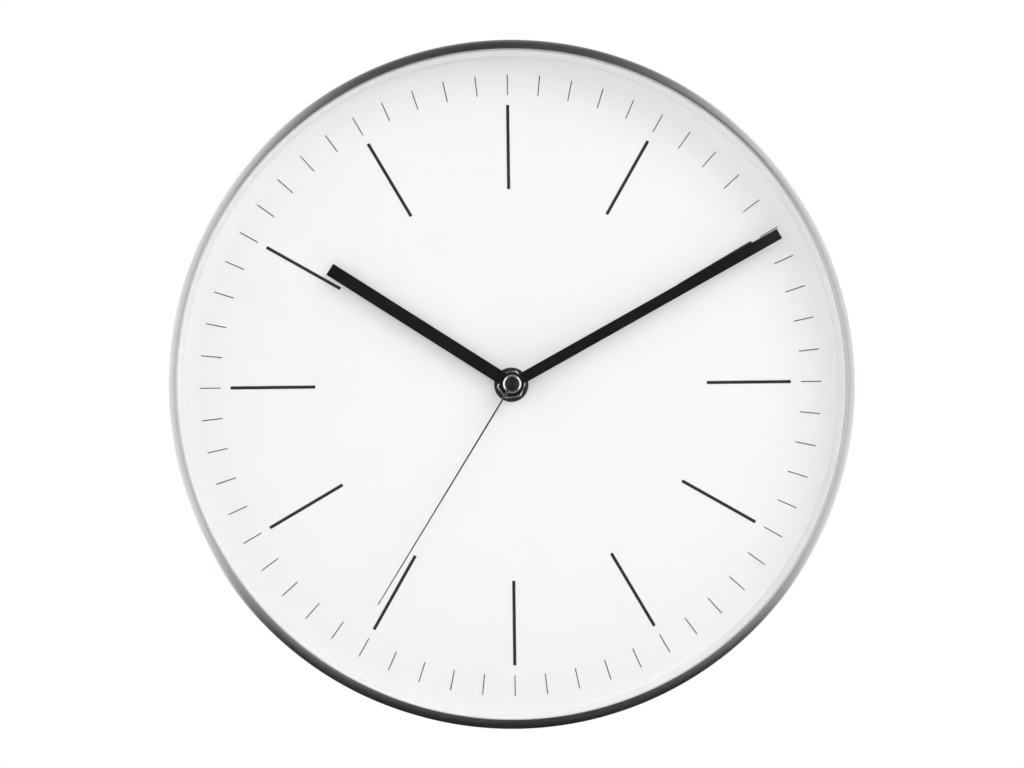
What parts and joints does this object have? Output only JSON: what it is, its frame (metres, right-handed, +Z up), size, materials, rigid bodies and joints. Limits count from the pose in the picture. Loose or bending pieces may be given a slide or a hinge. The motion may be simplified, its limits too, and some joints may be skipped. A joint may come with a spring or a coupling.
{
  "type": "wall clock",
  "caption": "Round quartz wall clock with a brushed steel case, white dial with bar marks, straight black hands, domed glass and a battery movement with its full wheel train.",
  "frame": {"origin": "centre of the back, in the plane of the case's rear edge, which lies against the wall", "axes": "+Z up towards 12 o'clock, -Y forward out of the dial, +X to the right as the dial is read"},
  "size_m": [0.275, 0.04, 0.275],
  "materials": {
    "brushed_case": "brushed round the rim",
    "dark_rubber": "matt",
    "clear_glass": "clear, polished",
    "white_plastic": "fine satin",
    "white_dial": "matt white paint",
    "black_print": "matt ink",
    "grey_board": "pressed board",
    "black_plastic": "fine grain",
    "zinc_steel": "zinc plated",
    "black_metal": "black chrome",
    "brass": "turned",
    "cream_plastic": "moulded acetal",
    "hand_black": "matt black",
    "needle_grey": "dark grey satin",
    "magnet_grey": "sintered",
    "soft_iron": "stamped",
    "copper_wire": "enamelled wire",
    "board_green": "solder mask",
    "chip_black": "epoxy",
    "contact_nickel": "nickel plated",
    "cell_jacket": "printed jacket, plain bands"
  },
  "bodies": {
    "case": {"case_ring": "brushed_case", "lens_seal": "dark_rubber", "glass_lens": "clear_glass", "reflector_ring": "white_plastic", "dial": "white_dial", "hour_marks": "black_print", "minute_marks": "black_print", "dial_board": "grey_board", "back_shell": "black_plastic", "shell_screws": "zinc_steel", "hanger_plate": "zinc_steel", "hanger_screws": "zinc_steel", "wall_bumpers": "dark_rubber", "rubber_washer": "dark_rubber", "dial_washer": "black_metal", "hex_nut": "black_metal", "threaded_bush": "brass", "movement_case": "black_plastic", "movement_cover": "black_plastic", "train_plate": "cream_plastic", "plate_screws": "zinc_steel", "stator": "soft_iron", "coil_core": "soft_iron", "coil_bobbin": "white_plastic", "coil_winding": "copper_wire", "coil_rivets": "zinc_steel", "circuit_board": "board_green", "quartz_crystal": "zinc_steel", "driver_chip": "chip_black", "contact_positive": "contact_nickel", "contact_negative": "contact_nickel"},
    "seconds": {"seconds_wheel": "cream_plastic", "second_hand": "needle_grey", "hub_cap": "hand_black"},
    "minutes": {"centre_wheel": "brass", "cannon_pinion": "brass", "minute_hand": "hand_black"},
    "hours": {"hour_wheel": "brass", "hour_hand": "hand_black"},
    "minute_wheel": {"minute_wheel": "cream_plastic"},
    "third_wheel": {"third_wheel": "cream_plastic"},
    "fifth_wheel": {"fifth_wheel": "cream_plastic"},
    "rotor": {"rotor_pinion": "cream_plastic", "rotor_magnet": "magnet_grey"},
    "setting_knob": {"setting_knob": "white_plastic"},
    "battery": {"battery": "cell_jacket"}
  },
  "joints": [
    {"name": "second_hand_turn", "type": "hinge", "parent": "case", "child": "seconds", "pos_m": [0, -0.0338, 0], "axis": [0, 1, 0], "continuous": true},
    {"name": "minute_hand_turn", "type": "hinge", "parent": "case", "child": "minutes", "pos_m": [0, -0.0314, 0], "axis": [0, 1, 0], "continuous": true},
    {"name": "hour_hand_turn", "type": "hinge", "parent": "case", "child": "hours", "pos_m": [0, -0.0289, 0], "axis": [0, 1, 0], "continuous": true},
    {"name": "minute_wheel_turn", "type": "hinge", "parent": "case", "child": "minute_wheel", "pos_m": [-0.00174, -0.0146, 0.00985], "axis": [0, 1, 0], "continuous": true},
    {"name": "third_wheel_turn", "type": "hinge", "parent": "case", "child": "third_wheel", "pos_m": [-0.00816, -0.0092, 0.0038], "axis": [0, 1, 0], "continuous": true},
    {"name": "fifth_wheel_turn", "type": "hinge", "parent": "case", "child": "fifth_wheel", "pos_m": [0.00825, -0.0092, 0.00385], "axis": [0, 1, 0], "continuous": true},
    {"name": "rotor_turn", "type": "hinge", "parent": "case", "child": "rotor", "pos_m": [0.0152, -0.0112, 0.00571], "axis": [0, 1, 0], "continuous": true},
    {"name": "setting_knob_turn", "type": "hinge", "parent": "case", "child": "setting_knob", "pos_m": [-0.00667, -0.0026, 0.01912], "axis": [0, 1, 0], "continuous": true},
    {"name": "battery_slide", "type": "slide", "parent": "case", "child": "battery", "axis": [0, 1, 0], "range_m": [0, 0.03]}
  ],
  "couplings": [
    {"joint": "minute_hand_turn", "follows": "second_hand_turn", "ratio": 0.016667},
    {"joint": "hour_hand_turn", "follows": "second_hand_turn", "ratio": 0.0013889},
    {"joint": "minute_wheel_turn", "follows": "second_hand_turn", "ratio": -0.0055556},
    {"joint": "third_wheel_turn", "follows": "second_hand_turn", "ratio": -0.125},
    {"joint": "fifth_wheel_turn", "follows": "second_hand_turn", "ratio": -6},
    {"joint": "rotor_turn", "follows": "second_hand_turn", "ratio": 30},
    {"joint": "setting_knob_turn", "follows": "second_hand_turn", "ratio": 0.013889}
  ]
}
